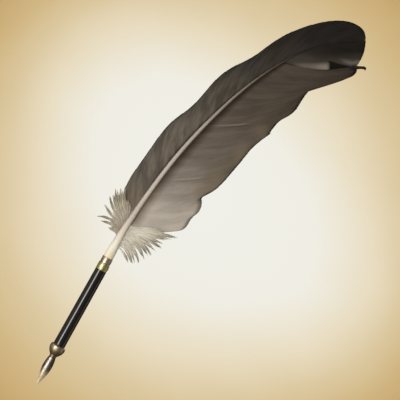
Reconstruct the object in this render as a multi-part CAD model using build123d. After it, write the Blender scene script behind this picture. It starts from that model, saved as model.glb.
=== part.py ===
"""Feather dip pen: a turned and lacquered holder with a steel nib at one end and a wing feather at the other.

Frame: the barrel's axis is Z, with the nib's writing point at the origin and the feather above it.
The feather's upper face, and the nib's convex face, look towards -Y. The feather bends towards +X.
All sizes are in millimetres.
"""

from build123d import *
import math
import os

# ---------------------------------------------------------------- levels along the pen's axis
SOCKET_MOUTH_Z = 19.9
COLLAR_BOTTOM_Z = 21.4
COLLAR_TOP_Z = 29.1
BARREL_FRONT_Z = 29.4
BARREL_REAR_Z = 85.2
FERRULE_TOP_Z = 89.7
RING_TOP_Z = 94.2
CALAMUS_END_Z = 71.5
RACHIS_START_Z = 108.0

# ---------------------------------------------------------------- nib
NIB_SHEET = 0.25
NIB_HEEL_Z = 31.2
NIB_THROAT_Z = 19.7
# Outer radius, half angle in degrees and ridge of the heel that plugs into the socket.
NIB_HEEL = (2.03, 100.0, -2.03)
VENT_Z = 11.5
VENT_RADIUS = 0.55
SLIT_WIDTH = 0.08
# Each slice of the nib: level, outer radius of the bent sheet, half angle in degrees, place of its ridge on Y.
NIB_SLICES = [
    (0.0, 1.5, 11.0, -0.35),
    (3.0, 2.1, 31.0, -0.68),
    (6.0, 2.7, 47.0, -1.00),
    (9.0, 3.2, 58.5, -1.30),
    (12.0, 3.4, 66.0, -1.56),
    (15.0, 3.3, 71.5, -1.78),
    (17.5, 2.95, 76.0, -1.93),
    (NIB_THROAT_Z, *NIB_HEEL),
]

# ---------------------------------------------------------------- nib socket and its spring
SOCKET_BORE_RADIUS = 2.05
SOCKET_RADIUS = 2.3
SOCKET_END_Z = 33.0
MOUTH_CHAMFER = 0.1
SPRING_RADIUS = 1.76
SPRING_SHEET = 0.2
SPRING_TIP_Z = 22.5
SPRING_BASE_Z = 31.5
SPRING_BASE_THICKNESS = 0.6
SPRING_BASE_GAP = 0.02
SPRING_SLOT_WIDTH = 1.0
SPRING_SLOT_FLOOR = 1.0
SPRING_FINGERS = 4

# ---------------------------------------------------------------- front collar, its thread and the bush
COLLAR_NECK_RADIUS = 2.55
COLLAR_NECK_TOP_Z = 21.9
COLLAR_RIM_RADIUS = 5.25
STAND_LAND_Z = (26.5, 27.7)
# The bell's flank between its neck and its cylindrical land: (radius, level).
BELL_FLANK = [(COLLAR_NECK_RADIUS, COLLAR_NECK_TOP_Z), (3.45, 22.7), (4.45, 24.2), (5.05, 25.7), (5.2, 26.35)]
BELL_SHOULDER_MIDDLE = (4.98, 28.55)
BELL_SHOULDER_END_RADIUS = 4.3
THREAD_PITCH = 0.75
THREAD_MAJOR_RADIUS = 2.95
THREAD_MINOR_RADIUS = 2.66
THREAD_CLEARANCE = 0.05
SPIGOT_TOP_Z = 38.4
BUSH_TOP_Z = 39.4
WASHER_RADIUS = 3.85

# ---------------------------------------------------------------- barrel and rear fittings
BARREL_FRONT_RADIUS = 3.97
BARREL_REAR_RADIUS = 3.80
BARREL_BORE_RADIUS = 3.35
EDGE_BREAK = 0.15
FERRULE_RADIUS = 4.05
FERRULE_SPIGOT_Z = 78.2
FERRULE_SPIGOT_BORE = 3.08
RING_RADIUS = 3.75
RING_BORE_RADIUS = 3.42
SEAT_CONE_DEPTH = 0.8
BEAD_RADIUS = 0.28
GLUE_BEAD = 0.35
GLUE_SETBACK = 0.02
# Outer radius of the hollow quill end, level by level.
CALAMUS_PROFILE = [
    (CALAMUS_END_Z, 2.35),
    (76.0, 2.62),
    (81.0, 2.86),
    (86.0, 3.08),
    (91.0, 3.24),
    (96.0, 3.33),
    (100.0, 3.22),
    (104.0, 2.98),
    (RACHIS_START_Z, 2.70),
]
CALAMUS_WALL = 0.45
# The rounded inner end of the hollow: how far it rises, and a point part way up as shares of radius and rise.
HOLLOW_RISE = 1.5
HOLLOW_SHOULDER = (0.75, 0.73)

# ---------------------------------------------------------------- feather
VANE_THICKNESS = 0.5
# How far the feather bows backwards at its tip, and where the bow starts.
BOW_DEPTH = 14.0
BOW_START_Z = 112.0
FEATHER_TIP = (77.0, 299.5)
# Where the split near the tip reaches the outer edge.
SPLIT_END = (80.6, 281.9)
# How steeply each vane falls away from the shaft: depth per square of the distance.
LEADING_DROOP = 0.011
TRAILING_DROOP = 0.0050
# The shaft's centre line, seen from the front: (x, z).
SHAFT_LINE = [
    (0.0, 96.0),
    (0.0, RACHIS_START_Z),
    (1.0, 126.0),
    (3.4, 152.0),
    (8.1, 182.0),
    (15.1, 208.0),
    (23.9, 234.0),
    (36.7, 260.0),
    (54.5, 283.5),
    FEATHER_TIP,
]
# Radius of the shaft above the quill, at even shares of the way to the tip.
RACHIS_RADII = [2.70, 2.15, 1.72, 1.50, 1.32, 1.14, 0.96, 0.78, 0.60, 0.42, 0.25]
# Outer edges of the vanes, from the downy end upwards: (x, z).
LEADING_EDGE = [
    (-13.0, 139.8),
    (-12.5, 152.0),
    (-10.7, 169.0),
    (-9.2, 183.0),
    (-5.9, 195.0),
    (-1.5, 204.5),
    (1.4, 214.5),
    (4.0, 227.5),
    (9.2, 240.5),
    (17.5, 253.5),
    (22.2, 263.5),
    (30.9, 279.5),
    (42.8, 292.5),
    (54.5, 301.7),
    (67.0, 305.5),
    FEATHER_TIP,
]
TIP_EDGE = [FEATHER_TIP, (79.8, 293.0), SPLIT_END]
# The trailing edge is broken by four notches, so it is a chain of separate curves.
TRAILING_EDGE = [
    [(28.0, 130.7), (32.6, 134.0), (33.7, 140.2)],
    [(33.7, 140.2), (35.9, 146.5), (36.2, 152.5), (34.4, 158.0)],
    [(34.4, 158.0), (39.3, 166.4), (42.5, 178.0), (44.9, 190.0), (48.4, 206.0), (52.6, 215.5)],
    [(52.6, 215.5), (54.0, 226.0), (59.0, 235.0), (60.7, 246.0), (62.1, 253.5)],
    [(62.1, 253.5), (71.5, 262.0), (80.6, 273.0), (82.4, 278.5), SPLIT_END],
]
# The split that parts the tip from the trailing vane, from the shaft outwards.
SPLIT_LINE = [(36.9, 260.2), (47.4, 262.4), (62.9, 268.6), (73.0, 274.4), SPLIT_END]
# Lower edges of the vanes, from the shaft outwards.
LEADING_LOWER = [(0.4, 117.5), (-7.0, 127.0), (-13.0, 139.8)]
TRAILING_LOWER = [(0.5, 118.5), (14.0, 124.2), (28.0, 130.7)]
# Downy tufts below the vanes: tip of each tuft, then the notch under it.
LEADING_TUFTS = [
    ((-17.6, 136.6), (-12.2, 130.5)),
    ((-19.5, 128.8), (-11.6, 124.5)),
    ((-19.6, 123.4), (-9.0, 117.5)),
    ((-19.8, 114.4), (-6.0, 115.0)),
    ((-11.0, 109.9), (0.0, 108.5)),
]
TRAILING_TUFTS = [
    ((32.6, 128.8), (20.5, 121.5)),
    ((27.6, 117.4), (17.0, 114.6)),
    ((23.4, 109.9), (15.0, 110.5)),
    ((21.5, 105.4), (12.5, 106.5)),
    ((14.6, 97.8), (0.0, 102.5)),
]
TUFT_BULGE = 0.6
CURL_POINTS = [(79.4, 281.2), (82.6, 283.2), (86.0, 282.9)]
CURL_RADII = [0.75, 0.6, 0.3]

# ---------------------------------------------------------------- how finely the feather's surfaces are fitted
SHAFT_SAMPLES = 240
SAMPLES_PAST_TIP = 30
SEARCH_STEPS = 1000
SHEET_TOLERANCE = 0.15
SHEET_STEP = 6.0
SHEET_CORNER = (-26.0, 90.0)
SHEET_COLUMNS = 21
SHEET_ROWS = 38
SHAFT_EDGE_END_GAP = 4.0
SHAFT_EDGE_STRIDE = 12

# Sizes of the plain blocks used as cutters, larger than anything they cut.
NIB_CUTTER = 20.0
CUTTER_OVERRUN = 2.0
FEATHER_CUTTER = 60.0


# ---------------------------------------------------------------- helpers
def turned(*outline):
    """A solid of revolution about Z from a closed outline of (radius, level) corners."""
    corners = [(radius, 0, level) for radius, level in outline]
    return revolve(make_face(Polyline(*corners, close=True)), Axis.Z)


def front_point(x, z):
    """A point of a front-view outline, in the XZ plane."""
    return (x, 0, z)


def front_curve(points):
    """A smooth front-view curve through (x, z) points."""
    return Spline(*[front_point(x, z) for x, z in points])


def bow(z):
    """How far back the shaft lies at a level."""
    share = max(0.0, z - BOW_START_Z) / (FEATHER_TIP[1] - BOW_START_Z)
    return BOW_DEPTH * share**2


def keep(name, shape):
    """Writes one node."""
    export_step(shape, f"parts/{name}.step")


# ---------------------------------------------------------------- nib
def nib_slice(level, radius, half_angle, ridge):
    """A C-shaped slice of bent sheet steel, opening towards +Y."""
    centre_y = ridge + radius

    def at(r, share):
        a = math.radians(half_angle) * share
        return (r * math.sin(a), centre_y - r * math.cos(a), level)

    inner = radius - NIB_SHEET
    outside = ThreePointArc(at(radius, -1), at(radius, 0), at(radius, 1))
    inside = ThreePointArc(at(inner, 1), at(inner, 0), at(inner, -1))
    ends = [Line(outside @ 1, inside @ 0), Line(inside @ 1, outside @ 0)]
    return make_face([outside, ends[0], inside, ends[1]])


def make_nib():
    """The stamped nib, as its body and two tines that meet it level with the vent."""
    heel = extrude(nib_slice(NIB_THROAT_Z, *NIB_HEEL), amount=NIB_HEEL_Z - NIB_THROAT_Z, dir=(0, 0, 1))
    blank = loft([nib_slice(*row) for row in NIB_SLICES]) + heel
    below_vent = VENT_Z + CUTTER_OVERRUN
    below_middle = VENT_Z - below_vent / 2
    vent = Pos(0, 0, VENT_Z) * Rot(90, 0, 0) * Cylinder(VENT_RADIUS, NIB_CUTTER)
    slit = Pos(0, 0, below_middle) * Box(SLIT_WIDTH, NIB_CUTTER, below_vent)
    blank = blank - vent - slit
    body_side = Pos(0, 0, VENT_Z + NIB_CUTTER) * Box(NIB_CUTTER, NIB_CUTTER, 2 * NIB_CUTTER)
    half = Box(NIB_CUTTER / 2, NIB_CUTTER, below_vent)
    left_side = Pos(-NIB_CUTTER / 4, 0, below_middle) * half
    right_side = Pos(NIB_CUTTER / 4, 0, below_middle) * half
    return blank & body_side, blank & left_side, blank & right_side


def make_nib_socket():
    """The thin tube that takes the nib's heel, with a softened mouth."""
    return turned(
        (SOCKET_BORE_RADIUS, SOCKET_MOUTH_Z + MOUTH_CHAMFER),
        (SOCKET_BORE_RADIUS + MOUTH_CHAMFER, SOCKET_MOUTH_Z),
        (SOCKET_RADIUS - MOUTH_CHAMFER, SOCKET_MOUTH_Z),
        (SOCKET_RADIUS, SOCKET_MOUTH_Z + MOUTH_CHAMFER),
        (SOCKET_RADIUS, SOCKET_END_Z),
        (SOCKET_BORE_RADIUS, SOCKET_END_Z),
    )


def make_nib_spring():
    """A cup of spring fingers that presses the heel against the socket."""
    inner = SPRING_RADIUS - SPRING_SHEET
    base_radius = SOCKET_BORE_RADIUS - SPRING_BASE_GAP
    base_top = SPRING_BASE_Z + SPRING_BASE_THICKNESS
    cup = turned(
        (SPRING_RADIUS, SPRING_TIP_Z),
        (SPRING_RADIUS, SPRING_BASE_Z),
        (base_radius, SPRING_BASE_Z),
        (base_radius, base_top),
        (0, base_top),
        (0, SPRING_BASE_Z),
        (inner, SPRING_BASE_Z),
        (inner, SPRING_TIP_Z),
    )
    slot_top = SPRING_BASE_Z - SPRING_SLOT_FLOOR
    slot_length = slot_top - SPRING_TIP_Z + CUTTER_OVERRUN
    slot = Pos(0, 0, slot_top - slot_length / 2) * Box(NIB_CUTTER, SPRING_SLOT_WIDTH, slot_length)
    finger_angle = 360 / SPRING_FINGERS
    for i in range(SPRING_FINGERS // 2):
        cup -= Rot(0, 0, (i + 0.5) * finger_angle) * slot
    return cup


# ---------------------------------------------------------------- collar, washer and bush
def make_front_collar():
    """The turned bell with its threaded spigot, bored through for the nib socket."""
    land_bottom, land_top = STAND_LAND_Z
    middle_radius, middle_level = BELL_SHOULDER_MIDDLE
    flank = Spline(*[(radius, 0, level) for radius, level in BELL_FLANK])
    shoulder = ThreePointArc(
        (COLLAR_RIM_RADIUS, 0, land_top),
        (middle_radius, 0, middle_level),
        (BELL_SHOULDER_END_RADIUS, 0, COLLAR_TOP_Z),
    )
    rest = Polyline(
        shoulder @ 1,
        (THREAD_MINOR_RADIUS, 0, COLLAR_TOP_Z),
        (THREAD_MINOR_RADIUS, 0, SPIGOT_TOP_Z),
        (SOCKET_RADIUS, 0, SPIGOT_TOP_Z),
        (SOCKET_RADIUS, 0, COLLAR_BOTTOM_Z),
        (COLLAR_NECK_RADIUS, 0, COLLAR_BOTTOM_Z),
        flank @ 0,
    )
    land = Polyline(flank @ 1, (COLLAR_RIM_RADIUS, 0, land_bottom), shoulder @ 0)
    return revolve(make_face([flank, land, shoulder, rest]), Axis.Z)


def make_collar_washer():
    """The thin washer trapped between the collar and the barrel."""
    return turned(
        (THREAD_MAJOR_RADIUS + THREAD_CLEARANCE, COLLAR_TOP_Z),
        (WASHER_RADIUS, COLLAR_TOP_Z),
        (WASHER_RADIUS, BARREL_FRONT_Z),
        (THREAD_MAJOR_RADIUS + THREAD_CLEARANCE, BARREL_FRONT_Z),
    )


def make_front_bush():
    """The brass insert pressed into the barrel's front end."""
    bore = THREAD_MINOR_RADIUS + THREAD_CLEARANCE
    return turned(
        (bore, BARREL_FRONT_Z),
        (BARREL_BORE_RADIUS, BARREL_FRONT_Z),
        (BARREL_BORE_RADIUS, BUSH_TOP_Z),
        (bore, BUSH_TOP_Z),
    )


# ---------------------------------------------------------------- barrel and rear fittings
def make_barrel():
    """The lacquered tube, very slightly tapered towards the feather."""
    return turned(
        (BARREL_BORE_RADIUS, BARREL_FRONT_Z),
        (BARREL_FRONT_RADIUS - EDGE_BREAK, BARREL_FRONT_Z),
        (BARREL_FRONT_RADIUS, BARREL_FRONT_Z + EDGE_BREAK),
        (BARREL_REAR_RADIUS, BARREL_REAR_Z - EDGE_BREAK),
        (BARREL_REAR_RADIUS - EDGE_BREAK, BARREL_REAR_Z),
        (BARREL_BORE_RADIUS, BARREL_REAR_Z),
    )


def beaded_side(radius, low, high):
    """Corners and curves of a band's outer side, with a rounded bead at each end."""
    drop = 2 * BEAD_RADIUS
    crown = radius + BEAD_RADIUS
    lower = ThreePointArc((radius, 0, low), (crown, 0, low + BEAD_RADIUS), (radius, 0, low + drop))
    upper = ThreePointArc((radius, 0, high - drop), (crown, 0, high - BEAD_RADIUS), (radius, 0, high))
    return [lower, Line(lower @ 1, upper @ 0), upper]


def make_rear_ferrule():
    """The brass band at the barrel's end, with the spigot that is pressed into the tube."""
    side = beaded_side(FERRULE_RADIUS - BEAD_RADIUS, BARREL_REAR_Z, FERRULE_TOP_Z)
    rest = Polyline(
        side[2] @ 1,
        (RING_BORE_RADIUS, 0, FERRULE_TOP_Z),
        (RING_BORE_RADIUS, 0, BARREL_REAR_Z + SEAT_CONE_DEPTH),
        (FERRULE_SPIGOT_BORE, 0, BARREL_REAR_Z),
        (FERRULE_SPIGOT_BORE, 0, FERRULE_SPIGOT_Z),
        (BARREL_BORE_RADIUS, 0, FERRULE_SPIGOT_Z),
        (BARREL_BORE_RADIUS, 0, BARREL_REAR_Z),
        side[0] @ 0,
    )
    return revolve(make_face([*side, rest]), Axis.Z)


def make_quill_ring():
    """The narrower brass ring where the quill leaves the ferrule."""
    side = beaded_side(RING_RADIUS - BEAD_RADIUS, FERRULE_TOP_Z, RING_TOP_Z)
    rest = Polyline(
        side[2] @ 1,
        (RING_BORE_RADIUS, 0, RING_TOP_Z),
        (RING_BORE_RADIUS, 0, FERRULE_TOP_Z),
        side[0] @ 0,
    )
    return revolve(make_face([*side, rest]), Axis.Z)


def calamus_outside():
    """The quill end's outer outline, from its cut end upwards."""
    return Spline(*[(radius, 0, level) for level, radius in CALAMUS_PROFILE])


def calamus_solid():
    """The quill end's outer shape, not hollow."""
    outside = calamus_outside()
    rest = Polyline(outside @ 1, (0, 0, RACHIS_START_Z), (0, 0, CALAMUS_END_Z), outside @ 0)
    return revolve(make_face([outside, rest]), Axis.Z)


def make_calamus():
    """The hollow quill end of the feather, closed where the shaft's pith begins."""
    outside = calamus_outside()
    bore = Spline(*[(radius - CALAMUS_WALL, 0, level) for level, radius in CALAMUS_PROFILE[:-1]])
    bore_top = bore @ 1
    shoulder_radius, shoulder_rise = HOLLOW_SHOULDER
    shoulder = (bore_top.X * shoulder_radius, 0, bore_top.Z + HOLLOW_RISE * shoulder_rise)
    top = (0, 0, bore_top.Z + HOLLOW_RISE)
    cap = ThreePointArc(bore_top, shoulder, top)
    over = Polyline(outside @ 1, (0, 0, RACHIS_START_Z), top)
    under = Line(bore @ 0, outside @ 0)
    return revolve(make_face([outside, over, cap, bore, under]), Axis.Z)


def make_feather_glue():
    """Set adhesive filling the gap between the quill and the brass."""
    glue_top = RING_TOP_Z + GLUE_BEAD
    filled = turned(
        (0, FERRULE_SPIGOT_Z),
        (FERRULE_SPIGOT_BORE, FERRULE_SPIGOT_Z),
        (FERRULE_SPIGOT_BORE, BARREL_REAR_Z),
        (RING_BORE_RADIUS, BARREL_REAR_Z + SEAT_CONE_DEPTH),
        (RING_BORE_RADIUS, RING_TOP_Z),
        (RING_BORE_RADIUS - GLUE_SETBACK, glue_top),
        (0, glue_top),
    )
    return filled - calamus_solid()


# ---------------------------------------------------------------- feather
def shaft_curve():
    """The shaft's centre line in space."""
    return Spline(*[(x, bow(z), z) for x, z in SHAFT_LINE])


def shaft_table(curve):
    """Evenly spaced points along the shaft, carried straight on past the tip."""
    points = [curve @ (i / SHAFT_SAMPLES) for i in range(SHAFT_SAMPLES + 1)]
    beyond = curve % 1
    return points + [points[-1] + beyond * step for step in range(1, SAMPLES_PAST_TIP + 1)]


def vane_depth(x, z, table):
    """Depth of the vanes' front face at a front-view point."""
    gaps = [math.hypot(p.X - x, p.Z - z) for p in table]
    nearest = min(range(len(gaps)), key=gaps.__getitem__)
    below = table[max(0, nearest - 1)]
    above = table[min(len(table) - 1, nearest + 1)]
    side = (x - below.X) * (above.Z - below.Z) - (z - below.Z) * (above.X - below.X)
    droop = TRAILING_DROOP if side > 0 else LEADING_DROOP
    return table[nearest].Y + droop * gaps[nearest] ** 2 - VANE_THICKNESS / 2


def vane_sheet(table):
    """A slab of vane thickness over the whole feather, bowed and drooped."""
    first_x, first_z = SHEET_CORNER
    across = [first_x + SHEET_STEP * i for i in range(SHEET_COLUMNS)]
    up = [first_z + SHEET_STEP * i for i in range(SHEET_ROWS)]
    rows = [[(x, vane_depth(x, z, table), z) for x in across] for z in up]
    face = Face.make_surface_from_array_of_points(rows, tol=SHEET_TOLERANCE)
    return extrude(face, amount=VANE_THICKNESS, dir=(0, 1, 0))


def cut_out(slab, outline, *shafts):
    """The part of the slab inside a front-view outline, cleared of the shaft."""
    prism = extrude(make_face(outline), amount=FEATHER_CUTTER, dir=(0, 1, 0), both=True)
    piece = slab & prism
    for shaft in shafts:
        piece -= shaft
    return max(piece.solids(), key=lambda s: s.volume)


def make_rachis(curve):
    """The tapering shaft of the feather."""
    shares = [i / SEARCH_STEPS for i in range(SEARCH_STEPS)]
    start = min(shares, key=lambda share: abs((curve @ share).Z - RACHIS_START_Z))
    steps = len(RACHIS_RADII) - 1
    sections = []
    for i, radius in enumerate(RACHIS_RADII):
        share = start + (1 - start) * i / steps
        plane = Plane(origin=curve @ share, z_dir=curve % share)
        if i == 0:
            plane = Plane(origin=(0, 0, RACHIS_START_Z), z_dir=(0, 0, 1))
        sections.append(plane * Circle(radius))
    return loft(sections)


def shaft_front(table, low, high):
    """The shaft's centre line between two levels, seen from the front."""
    lowest = low[1] + SHAFT_EDGE_END_GAP
    highest = high[1] - SHAFT_EDGE_END_GAP
    inside = [p for p in table if lowest < p.Z < highest]
    picked = inside[::SHAFT_EDGE_STRIDE]
    return front_curve([low, *[(p.X, p.Z) for p in picked], high])


def tuft_edges(start, tufts):
    """The ragged edge of the down: a curve out to each tip and one back to each notch."""
    edges = []
    here = start
    for tip, notch in tufts:
        for there, bulge in ((tip, TUFT_BULGE), (notch, -TUFT_BULGE)):
            middle = ((here[0] + there[0]) / 2, (here[1] + there[1]) / 2 + bulge)
            edges.append(front_curve([here, middle, there]))
            here = there
    return edges


def make_tip_curl(table):
    """The loose lock of barbs that curls out at the split."""
    half = VANE_THICKNESS / 2
    path = Spline(*[(x, vane_depth(x, z, table) + half, z) for x, z in CURL_POINTS])
    sections = []
    for i, radius in enumerate(CURL_RADII):
        share = i / (len(CURL_RADII) - 1)
        sections.append(Plane(origin=path @ share, z_dir=path % share) * Circle(radius))
    return loft(sections)


# ---------------------------------------------------------------- build
def main():
    os.makedirs("parts", exist_ok=True)

    body, left, right = make_nib()
    keep("nib_body", body)
    keep("nib_tine_left", left)
    keep("nib_tine_right", right)
    keep("nib_socket", make_nib_socket())
    keep("nib_spring", make_nib_spring())
    keep("front_collar", make_front_collar())
    keep("collar_washer", make_collar_washer())
    keep("front_bush", make_front_bush())
    keep("barrel_tube", make_barrel())
    keep("rear_ferrule", make_rear_ferrule())
    keep("quill_ring", make_quill_ring())
    keep("feather_glue", make_feather_glue())
    keep("calamus", make_calamus())

    curve = shaft_curve()
    table = shaft_table(curve)
    slab = vane_sheet(table)
    rachis = make_rachis(curve)
    calamus = calamus_solid()
    keep("rachis", rachis)

    lower_left = front_curve(LEADING_LOWER)
    lower_right = front_curve(TRAILING_LOWER)
    split = front_curve(SPLIT_LINE)

    up_left = shaft_front(table, LEADING_LOWER[0], FEATHER_TIP)
    leading = [up_left, front_curve(LEADING_EDGE), lower_left]
    keep("leading_vane", cut_out(slab, leading, rachis))

    up_right = shaft_front(table, TRAILING_LOWER[0], SPLIT_LINE[0])
    trailing = [up_right, split, *[front_curve(c) for c in TRAILING_EDGE], lower_right]
    trailing_vane = cut_out(slab, trailing, rachis)
    keep("trailing_vane", trailing_vane)

    to_tip = shaft_front(table, SPLIT_LINE[0], FEATHER_TIP)
    tip_vane = cut_out(slab, [to_tip, front_curve(TIP_EDGE), split], rachis)
    keep("tip_vane", tip_vane)
    keep("tip_curl", make_tip_curl(table) - tip_vane - trailing_vane)

    for name, lower, edge, tufts in (
        ("leading_down", lower_left, LEADING_EDGE[0], LEADING_TUFTS),
        ("trailing_down", lower_right, TRAILING_EDGE[0][0], TRAILING_TUFTS),
    ):
        ragged = tuft_edges(edge, tufts)
        inner = Line(ragged[-1] @ 1, lower @ 0)
        keep(name, cut_out(slab, [lower, *ragged, inner], rachis, calamus))


main()
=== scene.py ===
"""Looks for the feather dip pen: barbs, down, shaft, lacquer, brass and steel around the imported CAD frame.

Shapes are built in millimetres and written in metres. Seen from the front, x runs across the pen and z up
it; y is depth, with the front at -Y. A level is a z.
"""

import math
import random

import bpy
import numpy as np
from mathutils import Matrix, Vector


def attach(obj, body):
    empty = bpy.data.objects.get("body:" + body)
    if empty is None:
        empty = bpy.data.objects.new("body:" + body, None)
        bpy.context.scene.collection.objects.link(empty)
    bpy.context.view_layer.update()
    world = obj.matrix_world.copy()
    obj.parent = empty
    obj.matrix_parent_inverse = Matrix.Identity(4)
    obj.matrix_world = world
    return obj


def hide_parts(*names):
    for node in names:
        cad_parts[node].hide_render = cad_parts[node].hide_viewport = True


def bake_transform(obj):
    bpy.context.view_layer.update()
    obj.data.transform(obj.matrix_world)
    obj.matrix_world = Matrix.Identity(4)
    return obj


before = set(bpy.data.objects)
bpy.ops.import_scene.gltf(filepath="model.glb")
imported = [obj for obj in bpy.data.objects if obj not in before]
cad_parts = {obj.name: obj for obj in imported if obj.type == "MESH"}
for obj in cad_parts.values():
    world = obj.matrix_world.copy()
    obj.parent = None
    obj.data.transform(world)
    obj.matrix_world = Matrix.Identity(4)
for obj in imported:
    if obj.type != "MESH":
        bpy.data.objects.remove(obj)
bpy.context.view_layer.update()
MM = 0.001

# -------- the feather's lines, seen from the front
# Centre line of the shaft: (x, z).
SHAFT_LINE = [(0.0, 96.0), (0.0, 108.0), (1.0, 126.0), (3.55, 152.0), (8.45, 182.0), (15.1, 208.0),
              (23.9, 234.0), (36.7, 260.0), (54.5, 283.5), (77.0, 299.5)]
SHAFT_START_Z = 105.9
# Radius of the shaft: (z, radius).
SHAFT_RADIUS = [
    (SHAFT_START_Z, 2.45), (108, 2.72), (112, 2.56), (126, 2.10), (143, 1.72), (162, 1.54), (182, 1.38),
    (202, 1.20), (222, 1.00), (242, 0.78), (262, 0.54), (276, 0.40), (283, 0.20), (299.5, 0.08),
]
# How far back the shaft's tip bows, and how fast each vane falls back from the shaft, per mm squared.
BOW_DEPTH = 14.0
BOW_START_Z = 112.0
LEADING_DROOP = 0.011
TRAILING_DROOP = 0.0050
VANE_START_Z = 117.5
SPLIT_Z = 260.2
LAST_BARB_Z = 298.6
TIP_Z = 299.5
# Outer edges of the vanes: (x, z, level where the barb that ends there leaves the shaft).
LEADING_EDGE = [
    [(-13.0, 139.8, 117.5), (-12.5, 152.0, 124.0), (-10.7, 169.0, 138.6), (-9.2, 183.0, 150.7),
     (-5.9, 195.0, 163.6), (-1.5, 204.5, 175.5), (1.4, 214.5, 186.0), (4.0, 227.5, 197.0),
     (9.2, 240.5, 209.5), (17.8, 253.4, 224.5), (22.5, 263.3, 233.0), (31.2, 279.2, 245.0),
     (42.8, 292.5, 255.5), (54.5, 301.7, 269.0), (67.0, 305.5, 284.0), (73.5, 303.9, 293.0),
     (77.0, 299.5, 299.5)],
]
# The trailing edge is broken by notches, so it is a chain of separate curves.
TRAILING_EDGE = [
    [(27.8, 129.3, 117.5), (32.1, 131.5, 118.3), (34.4, 134.8, 119.2), (35.0, 137.7, 120.2),
     (34.5, 140.3, 121.3)],
    [(34.5, 140.3, 121.3), (34.8, 142.9, 122.4), (36.5, 147.0, 124.6), (36.9, 152.4, 127.4),
     (34.1, 158.2, 132.0)],
    [(34.1, 158.2, 132.0), (39.2, 166.5, 137.5), (42.5, 178.0, 146.5), (44.9, 190.0, 156.5),
     (48.4, 206.0, 169.5), (52.6, 215.5, 177.5)],
    [(52.6, 215.5, 177.5), (54.0, 226.0, 187.0), (59.0, 235.0, 196.0), (60.2, 246.2, 207.5),
     (61.3, 253.9, 217.0)],
    [(61.3, 253.9, 217.0), (70.6, 262.8, 228.0), (80.1, 273.4, 240.0), (82.3, 278.6, 250.0),
     (80.6, 281.9, 260.2)],
]
TIP_EDGE = [[(80.6, 281.9, 260.2), (79.8, 293.0, 280.0), (77.0, 299.5, 299.5)]]


def lengths_along(points):
    """Distance of each point from the first, along the line through them."""
    return np.concatenate([[0], np.cumsum(np.linalg.norm(np.diff(points, axis=0), axis=1))])


def smooth_curve(points, count):
    """`count` points along a natural cubic curve through the points, evenly spaced by length."""
    p = np.array(points, float)
    n = len(p)
    t = lengths_along(p)
    h = np.diff(t)
    system = np.eye(n)
    bends = np.zeros_like(p)
    for i in range(1, n - 1):
        system[i, i - 1 : i + 2] = h[i - 1], 2 * (h[i - 1] + h[i]), h[i]
        bends[i] = 6 * ((p[i + 1] - p[i]) / h[i] - (p[i] - p[i - 1]) / h[i - 1])
    m = np.linalg.solve(system, bends)
    dense = np.linspace(0, t[-1], 60 * n)
    k = np.clip(np.searchsorted(t, dense, side="right") - 1, 0, n - 2)
    hk = h[k][:, None]
    u = (dense - t[k])[:, None]
    v = (t[k + 1] - dense)[:, None]
    q = (m[k] * v**3 + m[k + 1] * u**3) / (6 * hk)
    q += (p[k] / hk - m[k] * hk / 6) * v + (p[k + 1] / hk - m[k + 1] * hk / 6) * u
    length = lengths_along(q)
    even = np.linspace(0, length[-1], count)
    return np.column_stack([np.interp(even, length, q[:, c]) for c in range(q.shape[1])])


SHAFT = smooth_curve(SHAFT_LINE, 900)


def shaft_x(z):
    """Where the shaft's centre line is at a level."""
    return np.interp(z, SHAFT[:, 1], SHAFT[:, 0])


def shaft_radius(z):
    """Radius of the shaft at a level."""
    return np.interp(z, [row[0] for row in SHAFT_RADIUS], [row[1] for row in SHAFT_RADIUS])


def bow(z):
    """How far back the shaft lies at a level."""
    return BOW_DEPTH * (np.maximum(0.0, z - BOW_START_Z) / (TIP_Z - BOW_START_Z)) ** 2


def shaft_gaps(points, batch=4000):
    """Level of the nearest shaft point, and the distance to it, for an array of front-view points."""
    flat = points.reshape(-1, 2)
    levels = np.empty(len(flat))
    gaps = np.empty(len(flat))
    for first in range(0, len(flat), batch):
        part = slice(first, first + batch)
        away = np.hypot(flat[part, 0, None] - SHAFT[:, 0], flat[part, 1, None] - SHAFT[:, 1])
        levels[part] = SHAFT[away.argmin(axis=1), 1]
        gaps[part] = away.min(axis=1)
    return levels.reshape(points.shape[:-1]), gaps.reshape(points.shape[:-1])


def unit(vectors):
    """Rows scaled to length one."""
    return vectors / np.linalg.norm(vectors, axis=-1)[..., None]


def soft_step(value, low, high):
    """0 at low, 1 at high, smooth between and level beyond; it falls where low is the greater."""
    t = np.clip((value - low) / (high - low), 0, 1)
    return t * t * (3 - 2 * t)


def falloff(value, width):
    """1 at zero, falling away smoothly over the width on both sides."""
    return np.exp(-((value / width) ** 2))


# -------- mesh helpers
SMOOTH_ANGLE = 70
EDGE_ANGLE = 35


def new_mesh(name, vertices, faces, values=None):
    """A mesh object from millimetre points, with one float attribute for each entry of values."""
    mesh = bpy.data.meshes.new(name)
    points = np.asarray(vertices, float) * MM
    mesh.from_pydata(points.tolist(), [], [list(face) for face in faces])
    for key, data in (values or {}).items():
        layer = mesh.attributes.new(key, "FLOAT", "POINT")
        layer.data.foreach_set("value", np.asarray(data, np.float32))
    mesh.polygons.foreach_set("use_smooth", [True] * len(mesh.polygons))
    mesh.update()
    return in_scene(name, mesh)


def in_scene(name, data):
    """A new object holding the data, linked to the scene."""
    made = bpy.data.objects.new(name, data)
    bpy.context.scene.collection.objects.link(made)
    return made


def crisp(piece, angle=EDGE_ANGLE):
    """Splits the shading at real edges."""
    piece.data.set_sharp_from_angle(angle=math.radians(angle))


def place(piece, body, slot, material, *nodes):
    """Gives a piece its material and body, and hides the CAD nodes it stands for; slot is not used."""
    piece.data.materials.append(material)
    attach(piece, body)
    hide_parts(*nodes)


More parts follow.
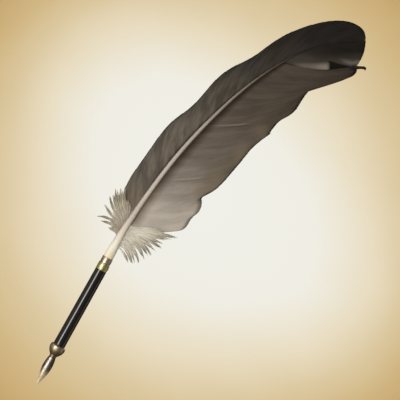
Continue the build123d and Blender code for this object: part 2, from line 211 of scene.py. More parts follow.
def band(a, b, around):
    """Faces between two closed rings of points, which start at vertices a and b."""
    return [(a + m, a + (m + 1) % around, b + (m + 1) % around, b + m) for m in range(around)]


def strip_faces(strips, samples, around):
    """Faces of many capped tubes of `samples` rings, one after another."""
    faces = []
    for base in range(0, strips * samples * around, samples * around):
        last = base + (samples - 1) * around
        for a in range(base, last, around):
            faces += band(a, a + around, around)
        faces.append(tuple(base + m for m in reversed(range(around))))
        faces.append(tuple(last + m for m in range(around)))
    return faces


def lathe(name, outline, body, slot, material, node_name, segments):
    """A closed piece turned about the pen's axis from (radius, level) corners."""
    turn = np.linspace(0, 2 * np.pi, segments, endpoint=False)
    rings = []
    faces = []
    for i, (radius, level) in enumerate(outline):
        levels = np.full(segments, level)
        rings.append(np.column_stack([radius * np.sin(turn), -radius * np.cos(turn), levels]))
        faces += band(i * segments, (i + 1) % len(outline) * segments, segments)
    piece = new_mesh(name, np.concatenate(rings), faces)
    place(piece, body, slot, material, node_name)
    return piece


def arc(centre, radius, start, end, steps=8):
    """Corners along an arc in the (radius, level) plane, angles in degrees."""
    turn = np.radians(np.linspace(start, end, steps))
    return [(centre[0] + radius * math.cos(a), centre[1] + radius * math.sin(a)) for a in turn]


# -------- shading helpers
def srgb(red, green, blue):
    """A linear colour from 0 to 255 display values."""
    out = []
    for value in (red, green, blue):
        value /= 255
        out.append(value / 12.92 if value <= 0.04045 else ((value + 0.055) / 1.055) ** 2.4)
    return (*out, 1.0)


def stop_colour(value):
    """A ramp stop's colour: one number is a linear grey, one tuple is linear, three numbers are 0 to 255."""
    if len(value) == 3:
        return srgb(*value)
    only = value[0]
    return (*only, 1.0) if isinstance(only, tuple) else (only, only, only, 1.0)


class Shading:
    """The node tree of a material or world, with short calls for the kinds of node used here."""

    def __init__(self, owner):
        self.owner = owner
        owner.use_nodes = True
        self.tree = owner.node_tree
        self.tree.nodes.clear()

    def node(self, kind, inputs=None, **settings):
        """Adds a node; inputs may be numbers, colours or other nodes' outputs."""
        made = self.tree.nodes.new("ShaderNode" + kind)
        for key, value in settings.items():
            setattr(made, key, value)
        for key, value in (inputs or {}).items():
            if isinstance(value, bpy.types.NodeSocket):
                self.tree.links.new(value, made.inputs[key])
            else:
                made.inputs[key].default_value = value
        return made

    def maths(self, operation, a, b=0.0, c=0.0):
        return self.node("Math", {0: a, 1: b, 2: c}, operation=operation).outputs[0]

    def linear(self, value, factor, offset=0.0):
        return self.maths("MULTIPLY_ADD", value, factor, offset)

    def span(self, value, low, high):
        """The value rescaled so that low becomes 0 and high becomes 1."""
        return self.linear(value, 1 / (high - low), -low / (high - low))

    def vector_maths(self, operation, a, b):
        """A number worked out from two vectors."""
        return self.node("VectorMath", {0: a, 1: b}, operation=operation).outputs["Value"]

    def attribute(self, name):
        """A mesh attribute as a number."""
        return self.node("Attribute", attribute_name=name).outputs["Fac"]

    def coordinates(self, kind):
        return self.node("TexCoord").outputs[kind]

    def stretched(self, *scale):
        """Object coordinates scaled along x, y and z."""
        return self.node("Mapping", {"Vector": self.coordinates("Object"), "Scale": scale}).outputs["Vector"]

    def level(self):
        """Height above the writing point, in metres."""
        return self.node("SeparateXYZ", {"Vector": self.coordinates("Object")}).outputs["Z"]

    def sideways(self):
        """0 where the surface faces left, 1 where it faces right."""
        normal = self.node("NewGeometry").outputs["Normal"]
        return self.span(self.node("SeparateXYZ", {"Vector": normal}).outputs["X"], -1, 1)

    def noise(self, vector, scale, detail=4.0, rough=0.55):
        inputs = {"Vector": vector, "Scale": scale, "Detail": detail, "Roughness": rough}
        return self.node("TexNoise", inputs).outputs["Fac"]

    def ramp(self, factor, *stops):
        """A colour ramp through (place, colour) stops."""
        made = self.node("ValToRGB", {"Fac": factor})
        elements = made.color_ramp.elements
        while len(elements) < len(stops):
            elements.new(0.5)
        for element, (where, *value) in zip(elements, stops):
            element.position = where
            element.color = stop_colour(value)
        return made.outputs["Color"]

    def mix(self, factor, a, b, blend="MIX"):
        """Mixes two colours."""
        return self.node("Mix", {0: factor, 6: a, 7: b}, data_type="RGBA", blend_type=blend).outputs[2]

    def times(self, colour, other, factor=1.0):
        """Multiplies two colours."""
        return self.mix(factor, colour, other, "MULTIPLY")

    def finish(self, colour, roughness, metallic=0.0, height=None, strength=0.2, distance=0.0001, **more):
        """Ends a material in the principled shader and returns the material."""
        inputs = {"Base Color": colour, "Roughness": roughness, "Metallic": metallic}
        inputs.update({key.replace("_", " "): value for key, value in more.items()})
        if height is not None:
            raised = self.node("Bump", {"Height": height, "Strength": strength, "Distance": distance})
            inputs["Normal"] = raised.outputs["Normal"]
        shader = self.node("BsdfPrincipled", inputs)
        self.node("OutputMaterial", {"Surface": shader.outputs[0]})
        return self.owner


def shading(name):
    """An empty material's shading."""
    return Shading(bpy.data.materials.new(name))


# -------- materials
def vane_material(name, core, rim, shadow, contrast, low_edge=0.0):
    """Barbs: one ramp up the middle of the vane and one up its rim, with streaks that follow the barbs.

    shadow is how far, in shaft radii, the shaft's painted shadow darkens the barbs beside it; contrast is
    how strong the streaks are; low_edge is how broad and dark the outline, mostly painted shade of the
    curled barb ends, gets at the bottom of the vane.
    """
    look = shading(name)
    up = look.attribute("along")
    out = look.attribute("across")
    clump = look.attribute("clump")
    to_rim = look.ramp(out, (0.50, 0.0), (0.88, 0.55), (0.975, 1.0))
    colour = look.mix(to_rim, look.ramp(up, *core), look.ramp(up, *rim))

    streaked = look.ramp(up, (0.0, 0.35), (0.22, 1.0))
    station = look.attribute("station")
    for per_mm, depth, amount in ((0.07, 0.0, contrast), (0.40, 4.0, contrast / 4)):
        across = look.linear(station, per_mm)
        sheet = look.node("CombineXYZ", {"X": across, "Y": out, "Z": depth})
        pattern = look.noise(sheet.outputs[0], 2.0, 3.0)
        colour = look.times(colour, look.ramp(pattern, (0.40, 1 - amount), (0.60, 1 + amount)), streaked)
    strand = look.linear(look.attribute("strand"), 37.0)
    grain = look.node("CombineXYZ", {"X": strand, "Y": out, "Z": clump})
    fleck = look.noise(grain.outputs[0], 3.0)
    colour = look.times(colour, look.ramp(fleck, (0.3, 0.96), (0.7, 1.04)))
    colour = look.times(colour, look.ramp(clump, (0.0, 0.96), (0.5, 1.0), (1.0, 1.04)))

    # Painted shadow of the shaft on the barbs beside it, as a warm darkening.
    beside = look.maths("DIVIDE", look.attribute("beside"), shadow)
    painted_shaft_shadow = look.ramp(beside, (0.0, (0.24, 0.20, 0.16)), (0.22, (0.28, 0.24, 0.20)),
                    (0.42, (0.45, 0.41, 0.37)), (0.7, (0.74, 0.71, 0.68)), (1.0, 1.0))
    colour = look.times(colour, painted_shaft_shadow)
    colour = look.mix(look.attribute("gold"), colour, srgb(122, 111, 91))
    colour = look.mix(look.attribute("pale"), colour, srgb(196, 184, 168))
    # Dark outline along the barbs' ends: mostly painted shade of their curled tips, broader at the vane's
    # bottom.
    outline = look.ramp(out, (0.945, 1.0), (0.978, 0.32))
    broad = look.ramp(out, (0.90, 1.0), (0.945, 0.46), (1.0, 0.26))
    near_base = look.ramp(up, (0.17, low_edge), (0.26, 0.0))
    colour = look.times(colour, look.mix(near_base, outline, broad))
    # Painted highlight on the folded lock by the split, and the paler bands beside it.
    colour = look.mix(look.attribute("fold_highlight"), colour, srgb(136, 128, 118))
    # Near black: painted shade in the hollow past the folded lock, in the notch and along the split; also
    # faint dark lines beside the pale lines, on the lowest barbs, and the curl's dark tone.
    colour = look.mix(look.attribute("gap"), colour, srgb(24, 18, 12))
    return look.finish(colour, 0.55, height=fleck, strength=0.08, Specular_IOR_Level=0.14)


def down_material(name, *stops):
    """Down: pale inside each lock, olive brown at its tip and along the lock's sides, there partly painted
    shade between the locks.
    """
    look = shading(name)
    out = look.attribute("across")
    colour = look.ramp(out, *stops)
    # Olive brown along the lock's sides: partly painted shade between the locks.
    at_edge = look.ramp(look.attribute("edge"), (0.70, 0.0), (0.97, 0.75))
    outer = look.maths("MULTIPLY", at_edge, look.ramp(out, (0.35, 0.0), (0.75, 1.0)))
    colour = look.mix(outer, colour, srgb(140, 128, 102))
    colour = look.times(colour, look.ramp(look.attribute("strand"), (0.0, 0.80), (1.0, 1.1)))
    return look.finish(colour, 0.7, Sheen_Weight=0.1, Specular_IOR_Level=0.12)


HORN_LOW = 0.070
HORN_HIGH = 0.300


def horn_material(name):
    """Cream horn that darkens up the shaft, with long fibres and painted shade on its sides; its colour
    follows the level above the nib.
    """
    look = shading(name)
    up = look.span(look.level(), HORN_LOW, HORN_HIGH)
    colour = look.ramp(
        up, (0.00, 226, 212, 168), (0.11, 232, 222, 190), (0.14, 238, 232, 214), (0.165, 230, 222, 206),
        (0.20, 212, 202, 186), (0.25, 194, 184, 170), (0.35, 190, 180, 168), (0.44, 184, 174, 162),
        (0.52, 172, 162, 150), (0.62, 148, 139, 127), (0.70, 122, 113, 102), (0.78, 84, 77, 68),
        (0.88, 34, 29, 24),
    )
    # Painted shade on the shaft's sides, darkest on the right, away from the key light, weaker on the lower
    # quill.
    shaded = look.ramp(look.sideways(), (0.0, 0.62), (0.2, 0.98), (0.70, 1.0), (0.86, 0.60), (1.0, 0.4))
    colour = look.times(colour, shaded, look.ramp(up, (0.12, 0.25), (0.17, 0.5), (0.21, 1.0)))
    fibres = look.noise(look.stretched(900, 900, 26), 2.0, 6.0)
    cloud = look.noise(look.stretched(120, 120, 30), 2.0, 3.0)
    colour = look.times(colour, look.ramp(fibres, (0.3, 0.90), (0.7, 1.06)))
    colour = look.times(colour, look.ramp(cloud, (0.3, 0.94), (0.7, 1.04)))
    coat = look.ramp(up, (0.70, 0.15), (0.85, 0.0))
    shine = look.ramp(up, (0.70, 0.3), (0.85, 0.1))
    return look.finish(colour, 0.4, height=fibres, Coat_Weight=coat, Coat_Roughness=0.3,
                       Specular_IOR_Level=shine)


# Top of the painted shade and tint on the front brass, in metres.
SHADE_AND_TINT_TOP = 0.030


def brass_material(name, bright, dull, tarnish, wear, rough):
    """Turned brass: lathe lines, dull patches, dark stains, and painted shade at its front end, darkest at
    the bell's neck, with a slight tint up to the bell's top.
    """
    look = shading(name)
    turned = look.noise(look.stretched(30, 30, 9000), 1.0, 3.0)
    patches = look.noise(look.stretched(330, 330, 330), 1.0, 6.0, 0.62)
    colour = look.ramp(patches, (0.32, *dull), (wear, *bright))
    stains = look.noise(look.stretched(820, 820, 820), 1.0, 5.0, 0.65)
    stained = look.ramp(stains, (0.56, 0.0), (0.72, 1.0))
    colour = look.mix(look.linear(stained, 0.75), colour, srgb(*tarnish))
    # Painted shade on the bell's lower bowl and neck, under its rim; a slight tint above it, up to the
    # bell's top.
    painted_shade_and_tint = look.ramp(
        look.span(look.level(), 0, SHADE_AND_TINT_TOP), (0.68, (0.34, 0.30, 0.22)), (0.80, (0.66, 0.60, 0.46)),
        (0.90, (0.86, 0.82, 0.72)), (0.975, (0.86, 0.82, 0.72)), (1.0, 1.0),
    )
    colour = look.times(colour, painted_shade_and_tint)
    shine = look.linear(patches, -0.18, rough + 0.1)
    shine = look.linear(stained, 0.25, shine)
    return look.finish(colour, shine, 1.0, height=turned, strength=0.12, distance=0.00004)


def lacquer_material(name):
    """Black lacquer with faint hairline scratches, dust and dulled patches."""
    look = shading(name)
    hairs = look.noise(look.stretched(5200, 5200, 55), 1.0, 2.0)
    scratch = look.ramp(hairs, (0.66, 0.0), (0.76, 1.0))
    haze = look.noise(look.stretched(190, 190, 70), 1.0, 4.0)
    colour = look.ramp(haze, (0.3, 10, 8, 8), (0.75, 22, 17, 15))
    colour = look.mix(look.linear(scratch, 0.16), colour, srgb(82, 72, 64))
    rough = look.linear(haze, 0.10, 0.05)
    rough = look.linear(scratch, 0.12, rough)
    return look.finish(colour, rough, height=hairs, strength=0.02, distance=0.00002, Coat_Weight=0.9,
                       Coat_Roughness=0.05, Specular_IOR_Level=0.5)


# Top of the tines' paler, less metallic colour, in metres.
TINE_TOP = 0.020


def steel_material(name, light, dark, rough):
    """Stamped spring steel with draw lines along the nib, faint heat colour, painted shade towards both
    sides and paler tines.
    """
    look = shading(name)
    draw = look.noise(look.stretched(1800, 1800, 120), 1.0, 4.0)
    cloud = look.noise(look.stretched(420, 420, 260), 1.0, 5.0, 0.6)
    stain = look.noise(look.stretched(560, 560, 300), 1.0, 3.0, 0.5)
    colour = look.ramp(cloud, (0.3, *dark), (0.6, *light))
    colour = look.times(colour, look.ramp(draw, (0.3, 0.88), (0.7, 1.05)))
    colour = look.mix(look.ramp(stain, (0.56, 0.0), (0.66, 0.8)), colour, srgb(74, 64, 54))
    # Painted shade towards both sides of the nib's sheet.
    shaded = look.ramp(look.sideways(), (0.02, 0.25), (0.16, 0.5), (0.30, 1.0), (0.56, 1.0), (0.74, 0.5),
                       (0.96, 0.25))
    colour = look.times(colour, shaded)
    tine = look.ramp(look.span(look.level(), 0, TINE_TOP), (0.35, 1.0), (0.60, 0.0))
    colour = look.mix(look.linear(tine, 0.7), colour, srgb(214, 194, 156))
    shine = look.linear(cloud, -0.14, rough + 0.08)
    metal = look.linear(tine, -0.6, 1.0)
    return look.finish(colour, shine, metal, height=draw, strength=0.03, distance=0.00003)


def mottled_material(name, low, high, scale, rough):
    """Mottled stuff: fibre, glue."""
    look = shading(name)
    mottle = look.noise(look.stretched(scale, scale, scale), 1.0, 6.0, 0.6)
    return look.finish(look.ramp(mottle, (0.3, *low), (0.7, *high)), rough, height=mottle, strength=0.4)


# -------- vanes
BARB_SAMPLES = 34
BARB_HALF_THICKNESS = 0.05
# Barbs overlap: half width over spacing, and the least and greatest half width.
BARB_OVERLAP = 1.35
BARB_HALF_WIDTHS = (0.12, 1.6)
# How far along its chord a barb keeps the direction it starts or ends with.
BARB_HANDLE = 0.36
# The lowest barb's width, and how many barbs it takes to reach the full width.
NARROWEST_BARB = 0.3
NARROW_BARBS = 6
# A barb's end: how narrow it gets, and over what share of its length.
END_WIDTH = 0.15
END_SHARE = 0.02
# How many barbs stick together, and how their tone, their lift and their length vary.
CLUMP_SIZES = (4, 16)
CLUMP_TONE = (0.5, 0.2)
CLUMP_LIFT = 0.05
CLUMP_TRIM = 0.003
BARB_TRIM = 0.0015
# How far, as a share of their spacing, the barbs of a clump draw together, and where along them that starts.
PINCH = 0.06
PINCH_START = 0.8
# The barbs' ends wander in slow waves: how far, how many waves, their lengths in barbs and the fade at the
# vane's two ends.
SWAY = 0.35
SWAY_WAVES = 6
SWAY_LENGTHS = (20, 120)
SWAY_FADE = 8.0
# The vane's surface ripples: depth, and radians per mm of shaft and over a barb's length.
RIPPLE_DEPTH = 0.35
RIPPLE_PER_MM = 0.09
RIPPLE_ALONG = 4.0
# How far one side of a barb lies over the next: at most, and as a share of its half width.
SHINGLE = 0.09
SHINGLE_SHARE = 0.3
# The shaft's shadow on the vanes fades out towards the base and towards the tip, over these levels.
FADE_TO_BASE = (178, 118)
FADE_TO_TIP = (258, 276)
# The folded lock beside the split: its end (x, z), the angle of its cut end, its length and its width there.
FOLD_END = (64.7, 272.8)
FOLD_CUT = math.radians(29.2)
FOLD_LENGTH = 27.0
FOLD_WIDTH = 5.2
HOLLOW_LENGTH = 15.0
HOLLOW_WIDTH = 5.4
# Pale lines on the trailing vane: inner and outer end of each, (x, z).
PALE_SPLITS = [((18.4, 200.1), (34.7, 213.2)), ((11.4, 155.5), (27.2, 168.5))]
# Golden wear on the trailing vane: middle (x, z), size and strength.
GOLD_SPOTS = [
    ((36.0, 172.0), (5.0, 9.0), 0.7),
    ((31.0, 160.0), (4.0, 5.0), 0.45),
    ((42.0, 195.0), (4.0, 9.0), 0.65),
    ((47.0, 214.0), (6.0, 5.0), 0.5),
]
# The trailing vane's lower notch, (x, z), and the lean of the edge beside it.
NOTCH = (34.4, 158.0)
NOTCH_LEAN = math.radians(30)


def edge_line(chains):
    """Points along a vane's edge and the root level of the barb that ends at each."""
    points = []
    roots = []
    for chain in chains:
        rows = np.array(chain, float)
        line = smooth_curve(rows[:, :2], 80)
        knots = [int(np.hypot(*(line - row[:2]).T).argmin()) for row in rows]
        points.append(line)
        roots.append(np.interp(np.arange(len(line)), knots, rows[:, 2]))
    return np.concatenate(points), np.concatenate(roots)


def slow_noise(rng, count):
    """A smooth random line of `count` values, about -1 to 1."""
    x = np.arange(count)
    total = np.zeros(count)
    for _ in range(SWAY_WAVES):
        length = math.exp(rng.uniform(*np.log(SWAY_LENGTHS)))
        total += np.sin(2 * np.pi * (x / length + rng.random()))
    return total / math.sqrt(SWAY_WAVES / 2)


def softened(values, width):
    """Running mean down the first axis, with the ends kept."""
    kernel = np.ones(width) / width
    pad = width // 2
    columns = values.reshape(len(values), -1).T
    padded = [np.pad(column, pad, mode="reflect", reflect_type="odd") for column in columns]
    return np.array([np.convolve(column, kernel, "valid") for column in padded]).T.reshape(values.shape)


def direction(angle):
    """Unit front-view vectors for angles from the pen's axis."""
    return np.stack([np.sin(angle), np.cos(angle)], axis=-1)


def barb_paths(chains, levels, opening, sway, trims):
    """Curved barbs from the shaft at each level to the vane's edge: an array (barb, sample, x and z)."""
    edge, roots = edge_line(chains)
    start = np.column_stack([shaft_x(levels), levels])
    asked = np.clip(levels + sway, roots[0], roots[-1])
    end = softened(np.column_stack([np.interp(asked, roots, edge[:, axis]) for axis in (0, 1)]), 5)
    end = start + (end - start) * trims[:, None]
    chord = end - start
    length = np.linalg.norm(chord, axis=1)[:, None]
    angle = np.arctan2(chord[:, 0], chord[:, 1])
    near = start + BARB_HANDLE * length * direction(angle + math.radians(opening))
    far = end - BARB_HANDLE * length * direction(angle - math.radians(opening))
    t = np.linspace(0, 1, BARB_SAMPLES)[None, :, None]
    p0, p1, p2, p3 = (p[:, None, :] for p in (start, near, far, end))
    return (1 - t) ** 3 * p0 + 3 * (1 - t) ** 2 * t * p1 + 3 * (1 - t) * t**2 * p2 + t**3 * p3


class Clumps:
    """Random facts about each barb: which clump it sits in, and the clump's own tone and lift."""

    def __init__(self, rng, count):
        self.tone, self.lift, self.off, self.trim = np.zeros((4, count))
        self.strand = np.array([rng.random() for _ in range(count)])
        first = 0
        while first < count:
            size = rng.randint(*CLUMP_SIZES)
            members = slice(first, min(count, first + size))
            self.tone[members] = min(1.0, max(0.0, rng.gauss(*CLUMP_TONE)))
            self.lift[members] = rng.gauss(0, CLUMP_LIFT)
            self.trim[members] = 1 - abs(rng.gauss(0, CLUMP_TRIM))
            self.off[members] = np.arange(first, members.stop) - (first + members.stop - 1) / 2
            first += size
        self.trim -= np.array([abs(rng.gauss(0, BARB_TRIM)) for _ in range(count)])


def barb_roots(low, high, spacing):
    """Levels along the shaft where barbs leave it, evenly spaced by length."""
    on_shaft = SHAFT[(SHAFT[:, 1] >= low) & (SHAFT[:, 1] <= high)]
    count = int(np.linalg.norm(SHAFT[1] - SHAFT[0]) * len(on_shaft) / spacing)
    roots = np.interp(np.linspace(0, len(on_shaft) - 1, count), np.arange(len(on_shaft)), on_shaft[:, 1])
    roots[0] = low
    roots[-1] = high
    return roots


def barb_spacing(paths, across_barb):
    """Distance from each barb to its neighbours, evened out but never less than the real gap."""
    step = np.diff(paths, axis=0)
    step = np.concatenate([step, step[-1:]])
    raw = np.abs((step * across_barb).sum(axis=2))
    return np.maximum(softened(raw, 9), np.maximum(raw, np.roll(raw, 1, axis=0)))


def along_barbs(values):
    """One value for each barb, repeated for its samples."""
    return np.repeat(values[:, None], BARB_SAMPLES, axis=1)


def vane(name, node_name, chains, levels, material, seed, special, side=1, spacing=0.42, opening=14.0,
         droop=TRAILING_DROOP):
    """One vane of overlapping barbs, each a thin closed strip rooted on the shaft.

    side is -1 left of the shaft and 1 right of it; opening bends the barbs, in degrees; special marks the
    vane's own features in the attributes and returns the depth they add.
    """
    rng = random.Random(seed)
    low, high = levels
    roots = barb_roots(low, high, spacing)
    count = len(roots)
    clumps = Clumps(rng, count)
    sway = SWAY * slow_noise(rng, count) * np.clip(np.minimum(roots - low, high - roots) / SWAY_FADE, 0, 1)
    paths = barb_paths(chains, roots, opening * side, sway, clumps.trim)
    tangent = unit(np.gradient(paths, axis=1))
    across_barb = np.stack([-tangent[..., 1], tangent[..., 0]], axis=2) * side
    gap = barb_spacing(paths, across_barb)

    out = np.linspace(0, 1, BARB_SAMPLES)[None, :]
    pinch = PINCH * np.clip((out - PINCH_START) / (1 - PINCH_START), 0, 1) ** 2
    rounded_end = END_WIDTH + (1 - END_WIDTH) * np.clip((1 - out) / END_SHARE, 0, 1) ** 0.6
    half = np.clip(gap * BARB_OVERLAP, *BARB_HALF_WIDTHS) * rounded_end
    half *= np.clip(np.arange(count) / NARROW_BARBS, NARROWEST_BARB, 1.0)[:, None]
    middle = paths - across_barb * (clumps.off[:, None] * gap * pinch)[..., None]
    level, away = shaft_gaps(middle)
    station = along_barbs(roots)
    ripple = RIPPLE_DEPTH * np.sin(station * RIPPLE_PER_MM + out * RIPPLE_ALONG) * out**1.5
    depth = bow(level) + droop * away**2 + ripple + clumps.lift[:, None] * out
    radius = shaft_radius(level)
    unshaded = 5 * soft_step(level, *FADE_TO_TIP) + 1.5 * soft_step(level, *FADE_TO_BASE)
    values = {
        "along": (middle[..., 1] - VANE_START_Z) / (TIP_Z - VANE_START_Z),
        "across": np.repeat(out, count, axis=0),
        "strand": along_barbs(clumps.strand),
        "clump": along_barbs(clumps.tone),
        "station": station,
        "beside": np.maximum(0.0, away - radius) / radius + unshaded,
    }
    values.update({key: np.zeros_like(away) for key in ("gold", "pale", "fold_highlight", "gap")})
    depth = depth + special(paths, values)

    shingle = np.minimum(SHINGLE, SHINGLE_SHARE * half)
    ring = []
    for offset, rise in ((-half, shingle), (0 * half, -BARB_HALF_THICKNESS), (half, -shingle),
                         (0 * half, BARB_HALF_THICKNESS)):
        corner = middle + across_barb * offset[..., None]
        ring.append(np.stack([corner[..., 0], depth + rise, corner[..., 1]], axis=-1))
    corners = len(ring)
    vertices = np.stack(ring, axis=2).reshape(-1, 3)
    rows = {key: np.repeat(value.reshape(-1), corners) for key, value in values.items()}
    piece = new_mesh(name, vertices, strip_faces(count, BARB_SAMPLES, corners), rows)
    crisp(piece, SMOOTH_ANGLE)
    place(piece, "holder", "brown_vane", material, node_name)


def fold_lock(paths, values):
    """The tip vane's lowest barbs: a folded lock raised forward with a painted highlight, and the hollow
    beyond its end, pushed back and painted dark as shade.
    """
    x = paths[..., 0]
    z = paths[..., 1]
    above = np.linalg.norm(paths.reshape(-1, 1, 2) - paths[0][None], axis=2).min(axis=1).reshape(x.shape)
    past_end = (x - FOLD_END[0]) * math.cos(FOLD_CUT) + (z - FOLD_END[1]) * math.sin(FOLD_CUT)
    length = FOLD_LENGTH + past_end
    width = FOLD_WIDTH * np.sqrt(np.clip(length / FOLD_LENGTH, 0, 1))
    # Painted highlight where the folded lock would catch the light.
    lit = soft_step(length, 0, 12) * soft_step(past_end, 0.3, -0.5)
    lit *= 0.40 + 0.44 * soft_step(past_end, -14, -2)
    lit *= soft_step(above, width + 0.5, width * 0.35)
    # Painted shade in the hollow beyond the lock's end, which is also pushed back.
    hollow_width = HOLLOW_WIDTH * (1 - np.clip(past_end / HOLLOW_LENGTH, 0, 1)) + 0.4
    hollow = soft_step(past_end, -0.3, 0.5) * soft_step(above, hollow_width + 0.5, hollow_width - 0.7)
    # Painted light: a paler band above the hollow, and a faint glow round the lock.
    over = soft_step(past_end, 5, 14) * falloff(above - hollow_width - 2.2, 1.4)
    glow = soft_step(above, 11, 4) * (1 - hollow) * (1 - lit)
    values["fold_highlight"] += lit + over * 0.38 + glow * 0.10
    values["gap"] += hollow * 0.95
    return hollow * 1.2 - lit * 0.6


def barb_through(paths, x, z):
    """Index of the barb, and of its sample, nearest to a front-view point."""
    gap = np.hypot(paths[..., 0] - x, paths[..., 1] - z)
    return np.unravel_index(gap.argmin(), gap.shape)


def pale_splits(paths, values):
    """Thin pale lines where barbs have parted: each follows the barb through its outer end."""
    share = values["across"]
    for inner, outer in PALE_SPLITS:
        barb, last = barb_through(paths, *outer)
        first = barb_through(paths, *inner)[1] / (BARB_SAMPLES - 1)
        last = last / (BARB_SAMPLES - 1)
        window = soft_step(share, first - 0.1, first + 0.15)
        window *= soft_step(share, last + 0.1, last - 0.05)
        away = values["station"] - values["station"][barb, 0]
        values["pale"] += 0.24 * window * falloff(away, 0.55)
        values["gap"] += 0.16 * window * falloff(away + 1.3, 0.8)


def pale_base(paths, values):
    """The leading vane's lowest barbs, which fade to the colour of the down."""
    level = paths[..., 1] + 0.6 * paths[..., 0] + 1.6 * values["strand"]
    values["pale"] += 0.75 * soft_step(level, 130.0, 122.0)
    return np.zeros_like(level)


def gold_patch(paths, values):
    """The trailing vane's golden wear, its pale base and lines, painted shadow in its notch and along the
    split, and dark on its lowest barbs.
    """
    x = paths[..., 0]
    z = paths[..., 1]
    pale_splits(paths, values)
    along_edge = (x - NOTCH[0]) * math.sin(NOTCH_LEAN) + (z - NOTCH[1]) * math.cos(NOTCH_LEAN)
    off_edge = (x - NOTCH[0]) * math.cos(NOTCH_LEAN) - (z - NOTCH[1]) * math.sin(NOTCH_LEAN)
    # Painted shadow of the overhanging clump in the notch.
    values["gap"] += 0.95 * falloff(along_edge - 3.0, 6.0) * falloff(off_edge, 1.1)
    share = values["across"]
    station = values["station"]
    lowest = soft_step(station, 119.3, 117.8)
    # Painted shade along the split, under the folded lock above.
    highest = soft_step(station, SPLIT_Z - 1.1, SPLIT_Z - 0.3) * soft_step(share, 0.8, 0.6)
    values["gap"] += 0.8 * lowest * soft_step(share, 0.62, 0.9) + 0.7 * highest
    values["pale"] += 0.55 * (1 - soft_step(z, 119.0, 124.0) * soft_step(station, 118.0, 120.5))
    for (spot_x, spot_z), (wide, tall), amount in GOLD_SPOTS:
        values["gold"] += amount * falloff(x - spot_x, wide) * falloff(z - spot_z, tall)
    return np.zeros_like(x)


def build_vanes():
    leading_skin = vane_material(
        "leading_barbs",
        [(0.0, 112, 101, 87), (0.06, 102, 91, 77), (0.18, 93, 84, 74), (0.40, 90, 82, 71),
         (0.62, 63, 57, 48), (0.78, 42, 36, 29), (0.9, 27, 22, 17), (1.0, 22, 17, 13)],
        [(0.0, 86, 80, 70), (0.3, 70, 66, 58), (0.6, 48, 44, 37), (0.8, 28, 24, 19), (1.0, 18, 14, 11)],
        shadow=1.6, contrast=0.30,
    )
    trailing_skin = vane_material(
        "trailing_barbs",
        [(0.0, 184, 175, 163), (0.10, 176, 167, 156), (0.19, 149, 139, 129), (0.33, 111, 101, 91),
         (0.46, 97, 87, 78), (0.6, 81, 72, 63), (0.80, 73, 65, 56), (1.0, 40, 34, 28)],
        [(0.0, 196, 187, 174), (0.16, 188, 179, 164), (0.215, 160, 150, 134), (0.24, 106, 96, 82),
         (0.4, 84, 75, 64), (0.7, 66, 57, 47), (0.9, 46, 39, 31), (1.0, 30, 25, 20)],
        shadow=4.6, contrast=0.13, low_edge=1.0,
    )
    tip_skin = vane_material(
        "tip_barbs",
        [(0.0, 52, 46, 40), (0.84, 44, 38, 32), (0.93, 28, 23, 19), (1.0, 24, 20, 16)],
        [(0.0, 34, 28, 22), (0.9, 28, 23, 18), (1.0, 22, 18, 14)],
        shadow=2.0, contrast=0.12,
    )
    whole = (VANE_START_Z, LAST_BARB_Z)
    vane("leading_vane_barbs", "leading_vane", LEADING_EDGE, whole, leading_skin, 11, pale_base, side=-1,
         spacing=0.60, opening=13.0, droop=LEADING_DROOP)
    below_split = (VANE_START_Z, SPLIT_Z)
    vane("trailing_vane_barbs", "trailing_vane", TRAILING_EDGE, below_split, trailing_skin, 12, gold_patch)
    above_split = (SPLIT_Z, LAST_BARB_Z)
    vane("tip_vane_barbs", "tip_vane", TIP_EDGE, above_split, tip_skin, 13, fold_lock)
    build_tip_curl(trailing_skin)


# The loose lock that hooks out at the split: its middle line (x, z).
CURL_KNOTS = [(77.4, 279.5), (81.0, 281.1), (83.8, 282.7), (85.5, 283.3), (86.5, 282.9)]
CURL_STRANDS = 16
CURL_STEPS = 18
CURL_AROUND = 6
CURL_RADIUS = 0.60
CURL_TWIST = 2.5
# How much thinner each barb is at the curl's end, and how much closer they lie there.
CURL_THINNING = 0.25
CURL_CLOSING = 0.45
# Attributes that are the same all over the curl.
CURL_VALUES = {"along": 0.86, "across": 0.5, "clump": 0.4, "beside": 9.0, "station": 250.0, "gap": 0.75}


def build_tip_curl(material):
    """Barbs twisted together into the hook at the split."""
    rng = random.Random(31)
    middle_line = smooth_curve(CURL_KNOTS, CURL_STEPS)
    level, away = shaft_gaps(middle_line)
    surface = bow(level) + TRAILING_DROOP * away**2
    share = np.linspace(0, 1, CURL_STEPS)
    radius = (CURL_RADIUS * (1 - CURL_THINNING * share))[:, None]
    around = np.linspace(0, 2 * np.pi, CURL_AROUND, endpoint=False)
    points = []
    strands = []
    for _ in range(CURL_STRANDS):
        spread = math.sqrt(rng.random()) * (1 - CURL_CLOSING * share)
        twist = rng.uniform(0, 2 * math.pi) + CURL_TWIST * share
        strands.append(rng.random())
        y = (surface + spread * np.cos(twist))[:, None] + radius * np.cos(around)
        z = (middle_line[:, 1] + spread * np.sin(twist))[:, None] + radius * np.sin(around)
        points.append(np.stack([np.broadcast_to(middle_line[:, :1], y.shape), y, z], axis=-1))
    vertices = np.concatenate(points).reshape(-1, 3)
    values = {key: np.full(len(vertices), value) for key, value in CURL_VALUES.items()}
    values["strand"] = np.repeat(strands, CURL_STEPS * CURL_AROUND)
    faces = strip_faces(CURL_STRANDS, CURL_STEPS, CURL_AROUND)
    piece = new_mesh("tip_curl_barbs", vertices, faces, values)
    place(piece, "holder", "brown_vane", material, "tip_curl")


# -------- shaft and quill
SHAFT_RING_STEP = 6
SHAFT_AROUND = 24
